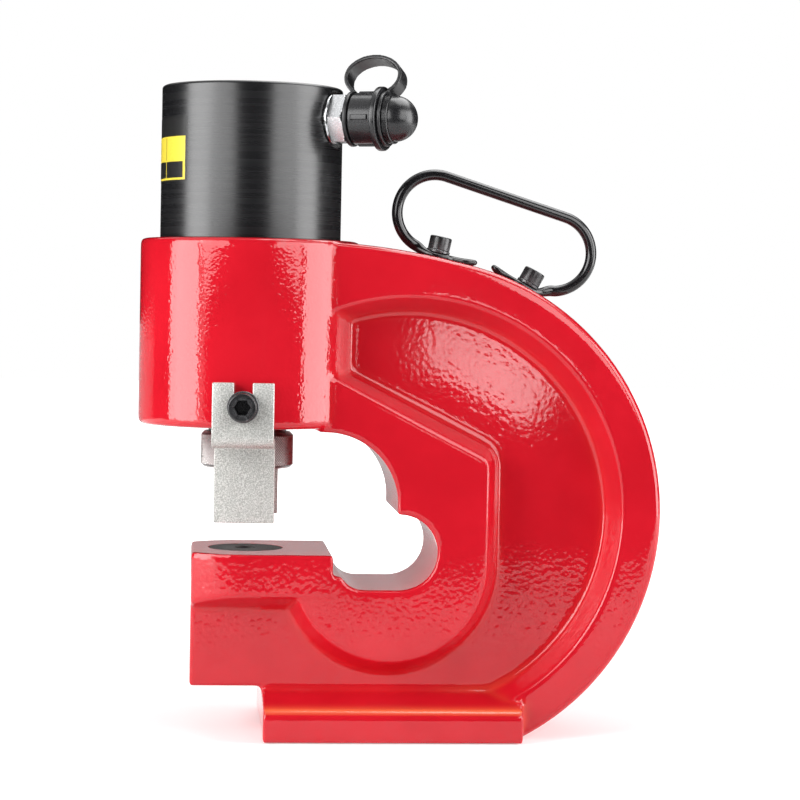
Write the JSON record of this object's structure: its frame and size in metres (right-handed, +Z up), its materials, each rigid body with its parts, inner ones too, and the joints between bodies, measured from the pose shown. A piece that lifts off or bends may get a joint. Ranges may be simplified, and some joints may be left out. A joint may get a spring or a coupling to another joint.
{
  "type": "hydraulic hole punch",
  "caption": "Hydraulic hole punch with a deep cast C-frame, a ram cylinder over the die, bent stripper plates, a carrying handle and a capped hose coupler.",
  "frame": {"origin": "centre of the foot's underside, on the floor", "axes": "+Z up along the ram, +X from the punch towards the round back of the frame, +Y across the frame away from the coupler's side"},
  "size_m": [0.3047, 0.162, 0.4],
  "materials": {
    "red_enamel": "gloss enamel on a casting",
    "black_enamel": "satin black enamel",
    "ground_steel": "ground",
    "tool_steel": "dark hardened tool steel",
    "knurled_steel": "knurled, oiled",
    "blasted_steel": "blasted and galvanised",
    "black_steel": "blackened",
    "spring_steel": "blackened",
    "zinc": "bright zinc plate",
    "bronze": "turned",
    "seal_rubber": "moulded",
    "guide_plastic": "moulded",
    "black_plastic": "moulded, satin",
    "strap_rubber": "moulded, satin"
  },
  "bodies": {
    "frame": {"frame": "red_enamel", "cylinder": "black_enamel", "guide_bush": "bronze", "rod_wiper": "seal_rubber", "spring_seat": "ground_steel", "return_spring": "spring_steel", "die": "tool_steel", "die_set_screw": "black_steel", "stripper_screws": "black_steel", "stripper_washers": "black_steel", "handle": "black_enamel", "handle_screws": "black_steel", "handle_washers": "black_steel", "coupler_body": "zinc", "coupler_washer": "zinc", "valve_spring": "spring_steel", "cap_strap": "strap_rubber"},
    "ram": {"ram": "ground_steel", "piston_seal": "seal_rubber", "piston_guide_ring": "guide_plastic", "punch": "tool_steel"},
    "punch_nut": {"punch_nut": "knurled_steel"},
    "front_stripper": {"front_stripper": "blasted_steel"},
    "rear_stripper": {"rear_stripper": "blasted_steel"},
    "valve_poppet": {"valve_poppet": "ground_steel"},
    "dust_cap": {"dust_cap": "black_plastic"}
  },
  "joints": [
    {"name": "ram_slide", "type": "slide", "parent": "frame", "child": "ram", "axis": [0, 0, -1], "range_m": [0, 0.022], "stiffness_N_per_m": 15000, "springref_m": -0.02, "deforming": ["return_spring"]},
    {"name": "nut_turn", "type": "hinge", "parent": "ram", "child": "punch_nut", "pos_m": [-0.08475, 0, 0.164], "axis": [0, 0, 1], "continuous": true},
    {"name": "front_stripper_slide", "type": "slide", "parent": "frame", "child": "front_stripper", "axis": [0, 0, 1], "range_m": [-0.006, 0.003]},
    {"name": "rear_stripper_slide", "type": "slide", "parent": "frame", "child": "rear_stripper", "axis": [0, 0, 1], "range_m": [-0.006, 0.003]},
    {"name": "valve_push", "type": "slide", "parent": "frame", "child": "valve_poppet", "axis": [-0.9063, 0.4226, 0], "range_m": [0, 0.003], "stiffness_N_per_m": 1000, "springref_m": -0.004, "deforming": ["valve_spring"]},
    {"name": "cap_pull", "type": "slide", "parent": "frame", "child": "dust_cap", "axis": [0.9063, -0.4226, 0], "range_m": [0, 0.024], "deforming": ["cap_strap"]}
  ]
}
